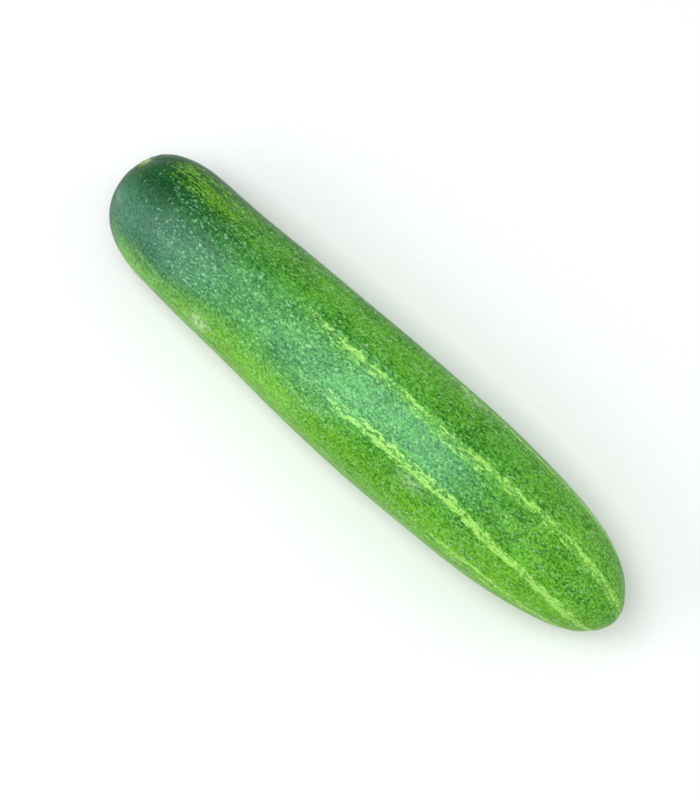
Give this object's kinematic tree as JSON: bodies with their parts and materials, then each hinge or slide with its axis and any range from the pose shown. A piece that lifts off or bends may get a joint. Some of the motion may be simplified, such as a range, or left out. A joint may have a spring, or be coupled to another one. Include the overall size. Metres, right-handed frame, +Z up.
{
  "type": "cucumber",
  "caption": "Fresh green slicing cucumber, blunt at its stem end and tapered at its blossom end, with speckled skin, soft ribs and pale stripes, lying on its belly.",
  "frame": {"origin": "on the surface that the cucumber lies on, under the middle of its length and width", "axes": "+X along the fruit from its stem end to its blossom end, +Z up, +Y to the left when looking towards the blossom end"},
  "size_m": [0.2, 0.0442, 0.0436],
  "materials": {
    "cucumber_skin": "waxy green skin with a soft sheen: light speckles, pale yellow-green stripes towards the blossom end, and a darker, bluer stem end"
  },
  "bodies": {
    "root": {"cucumber": "cucumber_skin"}
  },
  "joints": []
}
